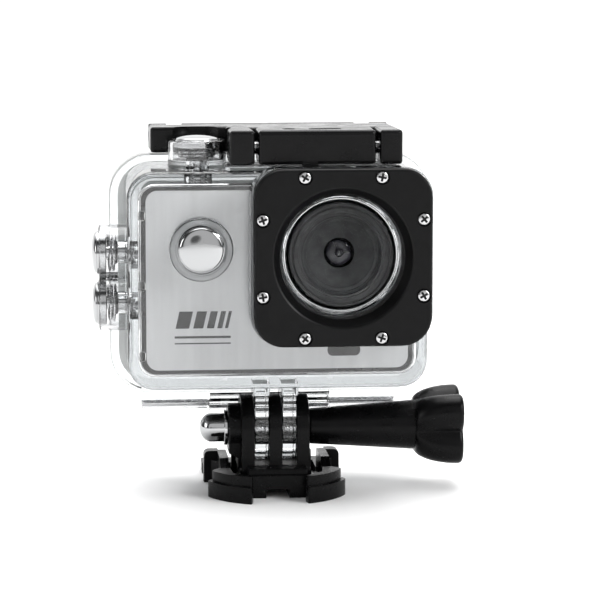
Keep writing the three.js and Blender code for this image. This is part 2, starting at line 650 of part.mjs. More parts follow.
function camera() {
  const { width, height, wall } = CAMERA;
  const side = width / 2;
  const top = height / 2;
  const { x, y, width: cell, depth, height: cellHeight } = BATTERY;
  const cellBottom = -top + 2.95;
  const parts = group(
    mesh("camera_case", cameraCase(), BLACK_PLASTIC),
    mesh("camera_front_plate", cameraFrontPlate(), SILVER),
    mesh("camera_back_cover", cameraBackCover(), BLACK_PLASTIC),
    mesh("lcd_screen", lcdScreen(), SCREEN_GLASS),
    mesh("lens_barrel", lensBarrel(), BLACK_PLASTIC),
    mesh("lens_cover_glass", lensCoverGlass(), GLASS),
    mesh("lens_element", lensElement(), LENS_GLASS),
    mesh("image_sensor_board", box(LENS.x - 9, LENS.x + 9, 0.9, 2.1, lensZ - 9, lensZ + 9), BOARD),
    mesh("main_board", box(-27, 27, 7.9, 9.1, -18, 18), BOARD),
    mesh(
      "battery",
      box(x - cell / 2, x + cell / 2, y - depth / 2, y + depth / 2, cellBottom, cellBottom + cellHeight),
      GREY_PLASTIC,
    ),
    mesh(
      "battery_door",
      box(x - cell / 2 - 0.5, x + cell / 2 + 0.5, y - depth / 2 - 0.4, y + depth / 2 + 0.4, -top, -top + wall),
      BLACK_PLASTIC,
    ),
    mesh("speaker", rod("y", 5, 3, 5.5, 20, -14), GREY_PLASTIC),
    mesh("camera_power_button", rod("y", 4.4, FRONT_PLATE.front - 0.3, -9.9, power.x, power.z), CHROME),
    mesh("camera_shutter_button", rod("z", 3.4, top - 1.35, top + 0.3, shutter.x, shutter.y), CHROME),
    ...sideButtons.map((b) =>
      mesh(`camera_${b.name}_button`, rod("x", 2.6, -side - 0.3, -side + 1.65, b.y, b.z), CHROME),
    ),
    ...PORTS.map(({ name, y0, y1, z0, z1, depth: length }) =>
      mesh(name, box(PORT_FACE - length, PORT_FACE, y0, y1, z0, z1), name === "memory_card" ? GREY_PLASTIC : STEEL),
    ),
  );
  parts.position.z = CAMERA.z;
  return parts;
}

// ---------------------------------------------------------------- assembly, one group for each moving body
const buckle = group(
  mesh("buckle_base", buckleBase(), BLACK_PLASTIC),
  mesh("cap_nut", capNut(), CHROME),
  mesh("release_arm_left", releaseArm(-1), BLACK_PLASTIC),
  mesh("release_arm_right", releaseArm(1), BLACK_PLASTIC),
);
const thumbScrew = group(
  mesh("thumb_screw_bolt", thumbScrewBolt(), STEEL),
  mesh("thumb_screw_knob", thumbScrewKnob(), BLACK_PLASTIC),
);
const latch = group(
  mesh("latch_frame", latchFrame(), BLACK_PLASTIC),
  mesh("latch_lever_pin", latchLeverPin(), STEEL),
  mesh("latch_lever", latchLever(), BLACK_PLASTIC),
);
const door = group(
  mesh("rear_door", rearDoor(), CLEAR),
  mesh("door_seal", doorSeal(), SILICONE),
  mesh("latch_hinge_pin", latchHingePin(), STEEL),
  latch,
);
const housing = group(
  mesh("housing_front_shell", housingFrontShell(), CLEAR),
  mesh("lens_window", lensWindow(), GLASS),
  mesh("window_seal", windowSeal(), RUBBER),
  mesh("lens_bezel", lensBezel(), BLACK_PLASTIC),
  ...screwPlaces.map((place, i) => mesh(`bezel_screw_${i + 1}`, bezelScrew(place), STEEL)),
  mesh("door_hinge_pin", doorHingePin(), STEEL),
  ...BUTTONS.map(pushButton),
  camera(),
  door,
);

export default group(buckle, thumbScrew, housing);
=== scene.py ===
"""Action camera in a clear waterproof housing on a quick-release buckle.

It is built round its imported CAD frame. Numbers are millimetres, in the frame's own axes.
"""
import json
import math

import bmesh
import bpy
from mathutils import Matrix, Vector

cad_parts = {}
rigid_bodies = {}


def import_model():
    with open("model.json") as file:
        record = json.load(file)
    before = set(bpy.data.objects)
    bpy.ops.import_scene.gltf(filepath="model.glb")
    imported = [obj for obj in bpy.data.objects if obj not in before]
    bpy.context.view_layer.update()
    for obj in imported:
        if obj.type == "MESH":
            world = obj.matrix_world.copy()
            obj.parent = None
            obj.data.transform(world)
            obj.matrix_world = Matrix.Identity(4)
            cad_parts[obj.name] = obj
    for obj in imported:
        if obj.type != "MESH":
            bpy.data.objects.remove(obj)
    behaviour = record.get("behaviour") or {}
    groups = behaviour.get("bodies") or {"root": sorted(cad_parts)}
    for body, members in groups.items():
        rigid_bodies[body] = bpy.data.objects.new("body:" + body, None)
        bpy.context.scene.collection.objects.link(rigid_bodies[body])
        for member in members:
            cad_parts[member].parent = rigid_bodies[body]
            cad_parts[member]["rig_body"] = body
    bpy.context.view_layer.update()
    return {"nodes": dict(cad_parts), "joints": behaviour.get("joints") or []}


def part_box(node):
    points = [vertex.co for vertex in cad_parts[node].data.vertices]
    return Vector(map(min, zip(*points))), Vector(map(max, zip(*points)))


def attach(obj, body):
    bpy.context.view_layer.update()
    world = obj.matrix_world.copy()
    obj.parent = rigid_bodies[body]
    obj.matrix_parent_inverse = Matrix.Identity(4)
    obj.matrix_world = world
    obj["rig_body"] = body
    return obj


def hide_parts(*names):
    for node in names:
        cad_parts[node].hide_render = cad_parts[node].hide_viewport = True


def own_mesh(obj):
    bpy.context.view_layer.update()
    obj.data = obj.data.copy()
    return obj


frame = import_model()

nodes = frame["nodes"]
JOINTS = {joint["name"]: joint for joint in frame["joints"]}
MM = 0.001


# ---------------------------------------------------------------- places that the frame gives
def span(node, axis):
    """Lowest and highest place of a CAD node along axis 0, 1 or 2."""
    low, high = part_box(node)
    return low[axis] / MM, high[axis] / MM


def middle(node):
    """The middle of a CAD node's box."""
    return [sum(span(node, axis)) / 2 for axis in range(3)]


def hinge_line(joint):
    """The (y, z) place of a joint that turns about an axis along X."""
    return tuple(v / MM for v in JOINTS[joint]["pos_m"][1:])


LENS_X, _, LENS_Z = middle("lens_window")
PIVOT_Z = JOINTS["housing_tilt"]["pos_m"][2] / MM
LENS = (LENS_X, LENS_Z)
CLAMP_LINE = (0, PIVOT_Z)
DOOR_LINE = DOOR_Y, DOOR_Z = hinge_line("door_hinge")
LATCH_LINE = LATCH_Y, LATCH_Z = hinge_line("latch_hinge")
LEVER_LINE = LEVER_Y, _ = hinge_line("lever_flip")
SIDES = (-1, 1)


# ---------------------------------------------------------------- mesh building
# A loop is a list of (u, v, w) points. AXES says which row axes u, v and w lie along.
AXES = {"x": (1, 2, 0), "y": (0, 2, 1), "z": (0, 1, 2)}
CORNER_STEPS, FILLET_STEPS, BOW_STEPS = 8, 6, 12
SAME_PLACE_M = 2e-6


def quarter_turn(steps):
    """Angles from 0 to 90 degrees, in radians."""
    return [math.pi / 2 * i / steps for i in range(steps + 1)]


def full_turn(steps):
    """Angles once round, in radians, without the last one."""
    return [2 * math.pi * i / steps for i in range(steps)]


def on_circle(centre, radius, angle):
    return centre[0] + radius * math.cos(angle), centre[1] + radius * math.sin(angle)


def place(point, axis):
    """A (u, v, w) point with w along the axis, as a row point in metres."""
    placed = [0.0, 0.0, 0.0]
    for value, row_axis in zip(point, AXES[axis]):
        placed[row_axis] = value * MM
    return placed


def stacked(loops, axis):
    """A closed body through loops of equal length, capped at both ends."""
    bm = bmesh.new()
    rows = [[bm.verts.new(place(p, axis)) for p in loop] for loop in loops]
    for low, high in zip(rows, rows[1:]):
        for i, vert in enumerate(low):
            j = (i + 1) % len(low)
            bm.faces.new((vert, low[j], high[j], high[i]))
    bm.faces.new(rows[0])
    bm.faces.new(rows[-1])
    bmesh.ops.remove_doubles(bm, verts=bm.verts[:], dist=1e-7)
    bmesh.ops.recalc_face_normals(bm, faces=bm.faces[:])
    return bm


def rounded_outline(width, height, corner, centre=(0, 0)):
    """Points of a rectangle with round corners, counter-clockwise."""
    corner = max(corner, 0.01)
    points = []
    for quarter, (su, sv) in enumerate([(1, -1), (1, 1), (-1, 1), (-1, -1)]):
        for step in range(CORNER_STEPS + 1):
            angle = math.pi / 2 * (quarter - 1 + step / CORNER_STEPS)
            u = centre[0] + su * (width / 2 - corner) + corner * math.cos(angle)
            v = centre[1] + sv * (height / 2 - corner) + corner * math.sin(angle)
            points.append((u, v))
    return points


def rim_stations(low, high, rim_low, rim_high, steps=4):
    """(inset, w) pairs from low to high for a body whose two rims are rounded."""
    stations = []
    for step in range(steps + 1 if rim_low else 1):
        angle = math.pi / 2 * step / steps
        stations.append((rim_low * (1 - math.sin(angle)), low + rim_low * (1 - math.cos(angle))))
    for step in range(steps + 1 if rim_high else 1):
        angle = math.pi / 2 * (1 - step / steps)
        stations.append((rim_high * (1 - math.sin(angle)), high - rim_high * (1 - math.cos(angle))))
    return stations


def block(axis, size, corner, low, high, rims=(0.3, 0.3), centre=(0, 0)):
    """A slab with round corners and rounded rims, swept along an axis."""
    loops = []
    for inset, w in rim_stations(low, high, *rims):
        ring = rounded_outline(size[0] - 2 * inset, size[1] - 2 * inset, corner - inset, centre)
        loops.append([(u, v, w) for u, v in ring])
    return stacked(loops, axis)


def turned(axis, profile, centre=(0, 0), segments=64):
    """A (radius, w) profile turned about an axis through centre."""
    angles = full_turn(segments)
    loops = [[(*on_circle(centre, radius, angle), w) for angle in angles] for radius, w in profile]
    return stacked(loops, axis)


def disc(axis, radius, low, high, centre=(0, 0), rims=(0.2, 0.2), segments=64):
    """A round slab with rounded rims."""
    profile = [(radius - inset, w) for inset, w in rim_stations(low, high, *rims, steps=3)]
    return turned(axis, profile, centre, segments)


def bore(axis, radius, low, high, centre, segments=32):
    """A round body with sharp rims, for cutting a hole."""
    return disc(axis, radius, low, high, centre, (0, 0), segments)


def prism(axis, outline, low, high, rim=0.0, clamp=True):
    """An outline swept along an axis, its end rims rounded, in full only if not clamped."""
    bm = stacked([[(u, v, low) for u, v in outline], [(u, v, high) for u, v in outline]], axis)
    return round_edges(bm, rim, 60, 2 if clamp else 4, clamp) if rim else bm


def round_edges(bm, rim, sharper_than=35, segments=2, clamp=True):
    """Rounds every edge that is sharper than an angle, in degrees."""
    verts, edges = bm.verts[:], bm.edges[:]
    bmesh.ops.dissolve_limit(bm, angle_limit=math.radians(0.5), verts=verts, edges=edges)
    limit = math.radians(sharper_than)
    bmesh.ops.bevel(
        bm,
        geom=[edge for edge in bm.edges if edge.is_manifold and edge.calc_face_angle(0) > limit],
        offset=rim * MM,
        segments=segments,
        profile=0.5,
        affect="EDGES",
        clamp_overlap=clamp,
    )
    return bm


def arc(centre, radius, start, end, steps=16):
    """Points of an arc, with its angles in degrees."""
    angles = [math.radians(start + (end - start) * i / steps) for i in range(steps + 1)]
    return [on_circle(centre, radius, angle) for angle in angles]


def bowed(start, end, sagitta):
    """(x, y, no fillet) corners of a shallow arc from start to end, bowed to the right."""
    points = []
    (u0, v0), (u1, v1) = start, end
    length = math.hypot(u1 - u0, v1 - v0)
    for i in range(BOW_STEPS + 1):
        t = i / BOW_STEPS
        reach = 4 * sagitta * t * (1 - t) / length
        u = u0 + (u1 - u0) * t - (v1 - v0) * reach
        v = v0 + (v1 - v0) * t + (u1 - u0) * reach
        points.append((u, v, 0))
    return points


def filleted(corners):
    """A closed outline from (u, v, radius) corners, each rounded by its own radius."""
    smooth = []
    for i, (u, v, radius) in enumerate(corners):
        corner = Vector((u, v))
        if not radius:
            smooth.append(tuple(corner))
            continue
        before = Vector(corners[i - 1][:2]) - corner
        after = Vector(corners[(i + 1) % len(corners)][:2]) - corner
        reach = radius / math.tan(before.angle(after) / 2)
        start = corner + before.normalized() * min(reach, before.length * 0.49)
        end = corner + after.normalized() * min(reach, after.length * 0.49)
        for step in range(FILLET_STEPS + 1):
            t = step / FILLET_STEPS
            point = start * (1 - t) ** 2 + corner * (2 * t * (1 - t)) + end * t**2
            smooth.append(tuple(point))
    return smooth


def loose(bm, name="tool"):
    """An object from a bmesh, to be shown or to cut and join with."""
    mesh = bpy.data.meshes.new(name)
    bm.to_mesh(mesh)
    bm.free()
    thing = bpy.data.objects.new(name, mesh)
    bpy.context.scene.collection.objects.link(thing)
    return thing


def combined(base, joins=(), cuts=()):
    """The bmesh of base with some bodies joined to it and others cut away."""
    thing = loose(base)
    tools = []
    for operation, bodies in (("UNION", joins), ("DIFFERENCE", cuts)):
        for body in bodies:
            tool = loose(body)
            tools.append(tool)
            modifier = thing.modifiers.new(operation, "BOOLEAN")
            modifier.operation = operation
            modifier.solver = "EXACT"
            modifier.object = tool
    result = thing.evaluated_get(bpy.context.evaluated_depsgraph_get()).to_mesh()
    bm = bmesh.new()
    bm.from_mesh(result)
    for done in [thing, *tools]:
        bpy.data.objects.remove(done)
    bmesh.ops.remove_doubles(bm, verts=bm.verts[:], dist=SAME_PLACE_M)
    return bm


def cad_copy(node, rim=0.0, segments=2):
    """A CAD node's shape with its sharp edges rounded."""
    bm = bmesh.new()
    bm.from_mesh(nodes[node].data)
    bmesh.ops.remove_doubles(bm, verts=bm.verts[:], dist=SAME_PLACE_M)
    return round_edges(bm, rim, segments=segments) if rim else bm


def piece(name, bm, material, body, replaced=(), flat_weighted=True):
    """A shown piece: smooth shaded, with a material, riding on a CAD body."""
    thing = loose(bm, name)
    thing.data.materials.append(material)
    thing.data.shade_smooth()
    thing.data.set_sharp_from_angle(angle=math.radians(32))
    if flat_weighted:
        modifier = thing.modifiers.new("flat faces", "WEIGHTED_NORMAL")
        modifier.keep_sharp = True
        modifier.weight = 80
    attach(thing, body)
    if replaced:
        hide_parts(*replaced)
    return thing


def stand_for(node, bm, material, flat_weighted=True):
    """A piece that replaces one CAD node, on that node's body."""
    body = nodes[node]["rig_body"]
    return piece(f"{node}_fine", bm, material, body, [node], flat_weighted)


# ---------------------------------------------------------------- materials
def new_material(name, color, roughness, metallic=0.0, **sockets):
    """A Principled material with its uniform values set on its own sockets."""
    material = bpy.data.materials.new(name)
    material.use_nodes = True
    shader = material.node_tree.nodes["Principled BSDF"]
    shader.inputs["Base Color"].default_value = (*color, 1)
    shader.inputs["Roughness"].default_value = roughness
    shader.inputs["Metallic"].default_value = metallic
    for socket, value in sockets.items():
        shader.inputs[socket.replace("_", " ")].default_value = value
    return material


def noise(material, scale, stretch=(1, 1, 1), detail=4.0):
    """A noise pattern in the piece's own space. Scale is in features per metre."""
    tree = material.node_tree
    coordinates = tree.nodes.new("ShaderNodeTexCoord")
    mapping = tree.nodes.new("ShaderNodeMapping")
    mapping.inputs["Scale"].default_value = stretch
    texture = tree.nodes.new("ShaderNodeTexNoise")
    texture.inputs["Scale"].default_value = scale
    texture.inputs["Detail"].default_value = detail
    texture.inputs["Roughness"].default_value = 0.55
    tree.links.new(coordinates.outputs["Object"], mapping.inputs["Vector"])
    tree.links.new(mapping.outputs["Vector"], texture.inputs["Vector"])
    return texture.outputs["Fac"]


def ranged(material, value, low, high):
    """The middle of a noise value's range, stretched to lie between low and high."""
    node = material.node_tree.nodes.new("ShaderNodeMapRange")
    node.inputs["From Min"].default_value = 0.3
    node.inputs["From Max"].default_value = 0.7
    node.inputs["To Min"].default_value = low
    node.inputs["To Max"].default_value = high
    material.node_tree.links.new(value, node.inputs["Value"])
    return node.outputs["Result"]


def vary_roughness(material, value, low, high):
    shader = material.node_tree.nodes["Principled BSDF"]
    material.node_tree.links.new(ranged(material, value, low, high), shader.inputs["Roughness"])


def vary_color(material, value, dark, light):
    tree = material.node_tree
    mix = tree.nodes.new("ShaderNodeMix")
    mix.data_type = "RGBA"
    mix.inputs["A"].default_value = (*dark, 1)
    mix.inputs["B"].default_value = (*light, 1)
    tree.links.new(ranged(material, value, 0, 1), mix.inputs["Factor"])
    tree.links.new(mix.outputs["Result"], tree.nodes["Principled BSDF"].inputs["Base Color"])


def add_bump(material, value, height_mm, strength=1.0):
    """Bumps of the given height, after any that are already there."""
    tree = material.node_tree
    normal = tree.nodes["Principled BSDF"].inputs["Normal"]
    bump = tree.nodes.new("ShaderNodeBump")
    bump.inputs["Strength"].default_value = strength
    bump.inputs["Distance"].default_value = height_mm * MM
    tree.links.new(value, bump.inputs["Height"])
    if normal.is_linked:
        tree.links.new(normal.links[0].from_socket, bump.inputs["Normal"])
    tree.links.new(bump.outputs["Normal"], normal)


def clear_material(name, color, roughness, ior, waviness=0.0, smoke=0.0):
    """A clear plastic or glass that lets light from the lamps through to what is behind it."""
    material = new_material(
        name, color, roughness, Transmission_Weight=1.0, IOR=ior, Specular_IOR_Level=0.35
    )
    tree = material.node_tree
    shader, output = tree.nodes["Principled BSDF"], tree.nodes["Material Output"]
    if smoke:
        absorption = tree.nodes.new("ShaderNodeVolumeAbsorption")
        absorption.inputs["Color"].default_value = (0.6, 0.62, 0.63, 1)
        absorption.inputs["Density"].default_value = smoke
        tree.links.new(absorption.outputs["Volume"], output.inputs["Volume"])
    if waviness:
        add_bump(material, noise(material, 90, detail=1.5), waviness, 1.0)
    path = tree.nodes.new("ShaderNodeLightPath")
    # painted shade: the colour darkens towards edges that are seen at a flat angle
    edge = tree.nodes.new("ShaderNodeLayerWeight")
    edge.inputs["Blend"].default_value = 0.3
    painted_edge_shade = tree.nodes.new("ShaderNodeMix")
    painted_edge_shade.data_type = "RGBA"
    painted_edge_shade.inputs["A"].default_value = (*color, 1)
    painted_edge_shade.inputs["B"].default_value = (0.13, 0.135, 0.14, 1)
    tree.links.new(edge.outputs["Facing"], painted_edge_shade.inputs["Factor"])
    tree.links.new(painted_edge_shade.outputs["Result"], shader.inputs["Base Color"])
    # shadow rays pass, so that the clear parts cast only a faint shadow
    through = tree.nodes.new("ShaderNodeBsdfTransparent")
    through.inputs["Color"].default_value = (0.93, 0.94, 0.945, 1)
    mix = tree.nodes.new("ShaderNodeMixShader")
    tree.links.new(path.outputs["Is Shadow Ray"], mix.inputs["Fac"])
    tree.links.new(shader.outputs["BSDF"], mix.inputs[1])
    tree.links.new(through.outputs["BSDF"], mix.inputs[2])
    tree.links.new(mix.outputs["Shader"], output.inputs["Surface"])
    return material


def black_plastic(name, color, rough, grain_mm, gloss=0.22):
    """Moulded plastic with a fine spark-eroded grain and slightly uneven gloss."""
    material = new_material(name, color, rough, IOR=1.5, Specular_IOR_Level=gloss)
    dark, light = [c * 0.8 for c in color], [c * 1.25 for c in color]
    vary_color(material, noise(material, 500), dark, light)
    vary_roughness(material, noise(material, 240, detail=6), rough - 0.06, rough + 0.08)
    add_bump(material, noise(material, 5200, detail=2), grain_mm, 0.6)
    return material


def polished_metal(name, color, rough, streak_mm=0.0):
    """Metal with faint polishing streaks and uneven gloss."""
    material = new_material(name, color, rough, metallic=1.0)
    smears = noise(material, 900, (1, 1, 6), detail=5)
    vary_roughness(material, smears, rough * 0.7, rough * 1.5)
    if streak_mm:
        add_bump(material, noise(material, 2500, (1, 1, 14)), streak_mm, 0.5)
    return material


def satin_silver():
    """The camera's silver face: metallic paint, faintly brushed upwards, with a fine sparkle."""
    material = new_material("satin_silver", (0.52, 0.525, 0.53), 0.38, metallic=0.5, IOR=1.5)
    brushed = noise(material, 420, (1, 1, 0.05), detail=5)
    vary_color(material, brushed, (0.5, 0.503, 0.508), (0.572, 0.575, 0.579))
    vary_roughness(material, noise(material, 1400, (1, 1, 0.15), detail=4), 0.3, 0.44)
    add_bump(material, noise(material, 9000, (1, 1, 0.4), detail=2), 0.004, 0.5)
    return material


def rubber_material():
    material = new_material("black_rubber", (0.02, 0.02, 0.02), 0.7)
    vary_roughness(material, noise(material, 700), 0.6, 0.85)
    add_bump(material, noise(material, 3000), 0.01, 0.5)
    return material


def silicone_material():
    material = new_material(
        "milky_silicone", (0.8, 0.81, 0.8), 0.45, Transmission_Weight=0.35, IOR=1.41
    )
    vary_roughness(material, noise(material, 400), 0.35, 0.55)
    add_bump(material, noise(material, 1500), 0.01, 0.4)
    return material


def board_material():
    material = new_material("solder_mask", (0.02, 0.09, 0.045), 0.35, IOR=1.5)
    patches = noise(material, 900, detail=1)
    vary_color(material, patches, (0.015, 0.07, 0.035), (0.03, 0.13, 0.06))
    vary_roughness(material, noise(material, 1200), 0.3, 0.5)
    return material


def screen_material():
    material = new_material(
        "screen_glass", (0.008, 0.009, 0.012), 0.06, IOR=1.52, Coat_Weight=0.6
    )
    vary_roughness(material, noise(material, 60, detail=5), 0.04, 0.09)
    return material


def coated_lens_material():
    material = new_material(
        "coated_lens", (0.014, 0.014, 0.018), 0.05, IOR=1.6, Specular_IOR_Level=0.5
    )
    coating = noise(material, 120, detail=1)
    vary_color(material, coating, (0.012, 0.012, 0.016), (0.022, 0.02, 0.027))
    return material


POLYCARBONATE = clear_material(
    "clear_polycarbonate", (0.99, 0.993, 0.995), 0.012, 1.5, waviness=0.01, smoke=55
)
WINDOW_GLASS = clear_material("window_glass", (0.97, 0.975, 0.975), 0.0, 1.04)
BEZEL_BLACK = black_plastic("bezel_black", (0.003, 0.003, 0.0032), 0.4, 0.006, 0.14)
LATCH_BLACK = black_plastic("latch_black", (0.003, 0.003, 0.0032), 0.22, 0.003, 0.16)
BUCKLE_BLACK = black_plastic("buckle_black", (0.0022, 0.0022, 0.0024), 0.28, 0.006, 0.11)
CASE_BLACK = black_plastic("case_black", (0.004, 0.004, 0.0045), 0.3, 0.003)
# painted light: the lens barrel's dark grey is lifted above black, standing in for the window's
# reflected haze and for light in the shaded lens box
LENS_DARK_PAINTED_HAZE = black_plastic("lens_dark_painted_haze", (0.055, 0.055, 0.056), 0.5, 0.001, 0.1)
CHROME = polished_metal("polished_chrome", (0.45, 0.455, 0.46), 0.08)
STEEL = polished_metal("stainless_steel", (0.62, 0.62, 0.63), 0.22, 0.003)
SCREW_STEEL = polished_metal("screw_steel", (0.55, 0.55, 0.555), 0.2, 0.002)
SILVER = satin_silver()
# painted shade: a dark material for the bottom of the screws' cross recesses
RECESS_PAINTED_SHADE = black_plastic("recess_painted_shade", (0.02, 0.02, 0.02), 0.5, 0.002)
COLLAR_METAL = polished_metal("collar_metal", (0.55, 0.552, 0.555), 0.16)
RUBBER = rubber_material()
SILICONE = silicone_material()
BOARD = board_material()
SCREEN = screen_material()
COATED_LENS = coated_lens_material()
LABEL_GREY = black_plastic("battery_wrap", (0.05, 0.05, 0.055), 0.45, 0.004)
PRINT_GREY = black_plastic("print_grey", (0.008, 0.008, 0.009), 0.5, 0.002, 0.12)


# ---------------------------------------------------------------- clear housing
HOUSING_W, HOUSING_LOW, HOUSING_HIGH, HOUSING_FRONT, FLANGE_BACK = 66.4, 24.9, 73.3, -15.2, 13.5
FLANGE_W, FLANGE_LOW, FLANGE_HIGH, FLANGE_FRONT, FLANGE_CORNER = 73.0, 20.2, 75.1, 9.5, 9.5
CAVITY_W, CAVITY_LOW, CAVITY_HIGH, CAVITY_FRONT = 61.6, 27.7, 70.5, -12.6
FLANGE_MID = (0, (FLANGE_LOW + FLANGE_HIGH) / 2)
FLANGE_SIZE = (FLANGE_W, FLANGE_HIGH - FLANGE_LOW)
BEZEL_SIDE, BEZEL_CORNER = 39, 6.5
WINDOW_RADIUS = 14.4
FINGER_PITCH = 3.1  # from one finger of the tilt joint to the next, shell's and buckle's in turn
CLAMP_BORE = 2.75
# knuckles of the door hinge: the shell has the middle one, the door the two outer ones
KNUCKLE_RADIUS, KNUCKLE_BORE, SHELL_KNUCKLE_END, DOOR_KNUCKLE = 2.1, 1.1, 13.8, (14.1, 29.3)
LUG_X, LUG_RADIUS, LATCH_BORE, LEVER_BORE = 21.5, 2.6, 1.2, 1.3

# Heights are measured outwards from the housing's face. boss to floor shape the clear cup, cap to
# apex the metal cap, wall is how far the bore goes in, and reach how far the stem stands out there.
BUTTONS = {
    "shutter": {
        "axis": "z", "out": 1, "face": HOUSING_HIGH, "centre": middle("shutter_plunger")[:2],
        "wall": 2.8, "boss": 6.5, "rim": 6.0, "floor": 1.7,
        "cap": 5.1, "underside": 4.3, "edge": 6.1, "apex": 7.1, "reach": 0.0,
    },
    "power": {
        "axis": "y", "out": -1, "face": HOUSING_FRONT, "centre": middle("power_plunger")[::2],
        "wall": 2.6, "boss": 7.0, "rim": 3.4, "floor": 0.4,
        "cap": 5.1, "underside": 2.4, "edge": 3.8, "apex": 4.7, "reach": 0.0,
    },
}
for side in ("up", "down"):
    BUTTONS[side] = {
        "axis": "x", "out": -1, "face": -HOUSING_W / 2, "centre": middle(f"{side}_plunger")[1:],
        "wall": 2.4, "boss": 6.2, "rim": 6.0, "floor": 1.7,
        "cap": 4.9, "underside": 4.3, "edge": 6.5, "apex": 7.7, "reach": 0.15,
    }


def out(button, heights):
    """(radius, height) pairs as (radius, place along the button's axis) pairs."""
    return [(radius, button["face"] + button["out"] * height) for radius, height in heights]


def button_boss(button):
    """The clear cup round a button, with a rounded rim."""
    rim, boss, round_off = button["rim"], button["boss"], 0.5
    edge = [
        (boss - round_off + round_off * math.cos(a), rim - round_off + round_off * math.sin(a))
        for a in (0, 0.5, 1.0, math.pi / 2)
    ]
    return turned(button["axis"], out(button, [(boss, -1.0), *edge]), button["centre"])


def button_hole(button):
    """The stepped bore for a plunger, from the retaining clip's pocket to the flared mouth."""
    pocket, stem, cup = 3.2, 1.8, button["cap"] + 0.3
    inside, floor, rim = -button["wall"], button["floor"], button["rim"]
    profile = [
        (pocket, inside - 0.5), (pocket, inside + 1.35), (stem, inside + 1.35), (stem, floor),
        (cup, floor), (cup, rim - 0.35), (cup + 0.35, rim), (cup + 0.85, rim + 0.5),
    ]
    return turned(button["axis"], out(button, profile), button["centre"])


def finger_outline(radius, root):
    """A finger that is round about the tilt axis and ends at height root, in (y, z)."""
    rises = root > PIVOT_Z
    start, end = (180, 360) if rises else (0, 180)
    right = radius if rises else -radius
    return [*arc(CLAMP_LINE, radius, start, end, 28), (right, root), (-right, root)]


def front_shell():
    """The shell: body, flange, lens box, latch platform, middle knuckle, fingers and bosses."""
    low, high = HOUSING_LOW, HOUSING_HIGH
    size, cavity = (HOUSING_W, high - low), (CAVITY_W, CAVITY_HIGH - CAVITY_LOW)
    centre, cavity_centre = (0, (low + high) / 2), (0, (CAVITY_LOW + CAVITY_HIGH) / 2)
    end = SHELL_KNUCKLE_END
    knuckle_web = [
        (10.5, 21), (13.4, 21), (13.4, 19.6), (DOOR_Y, DOOR_Z + KNUCKLE_RADIUS),
        (DOOR_Y, DOOR_Z - KNUCKLE_RADIUS), (13.6, 15.9), (10.5, 19.5),
    ]
    joins = [
        block("y", FLANGE_SIZE, FLANGE_CORNER, FLANGE_FRONT, FLANGE_BACK, (0.8, 0), FLANGE_MID),
        block("y", (40, BEZEL_SIDE), BEZEL_CORNER, -20.2, HOUSING_FRONT + 1, (0.5, 0), LENS),
        block("z", (40, 11.7), 1.2, high - 1, 74.2, (0, 0.3), (8.4, -7.35)),
        disc("x", KNUCKLE_RADIUS, -end, end, DOOR_LINE, (0.25, 0.25), 40),
        prism("x", knuckle_web, -end, end),
    ]
    for side in SIDES:
        x = FINGER_PITCH * side
        joins.append(prism("x", finger_outline(7.3, low + 1), x - 1.5, x + 1.5, 0.25))
        joins.append(block("z", (3.8, 14.6), 0.6, 22, low + 1, (0.3, 0), (3.2 * side, 0)))
    gusset = [(4, low + 0.3), (9.8, low + 0.3), (9.8, 20.7)]
    for x in (-11.2, 12.9):
        joins.append(prism("x", gusset, x - 0.8, x + 0.8))
    joins += [button_boss(button) for button in BUTTONS.values()]
    # the window's seat, a small chamfer and the hole in front of the lens
    lens_hole = [
        (14.6, -21), (14.6, -17.6), (14.3, -17.4), (13.6, -17.4), (13.2, -17.0), (13.2, -12),
    ]
    cuts = [
        block("y", cavity, 3.8, CAVITY_FRONT, FLANGE_BACK + 1, (0.7, 0), cavity_centre),
        turned("y", lens_hole, LENS, 96),
        bore("x", CLAMP_BORE, -7, 7, CLAMP_LINE, 48),
        bore("x", KNUCKLE_BORE, -15, 15, DOOR_LINE),
        block("z", (4.6, 2.6), 0.4, 73, 75.5, (0, 0), (7, -15)),
    ]
    cuts += [bore("y", 0.9, -21, -16, screw, 16) for screw in screw_centres()]
    cuts += [button_hole(button) for button in BUTTONS.values()]
    base = block("y", size, 6, HOUSING_FRONT, FLANGE_BACK, (1.4, 0), centre)
    pads = [
        block("y", (1.5, 2.2), 0.4, CAVITY_FRONT - 0.2, -11.3, (0, 0.3), (-29.9, z))
        for z in (63.5, 47.9, 32.3)
    ]
    return combined(combined(base, joins, cuts), pads)


def screw_centres():
    """(x, z) places of the eight bezel screws."""
    return [tuple(middle(f"bezel_screw_{i}")[::2]) for i in range(1, 9)]


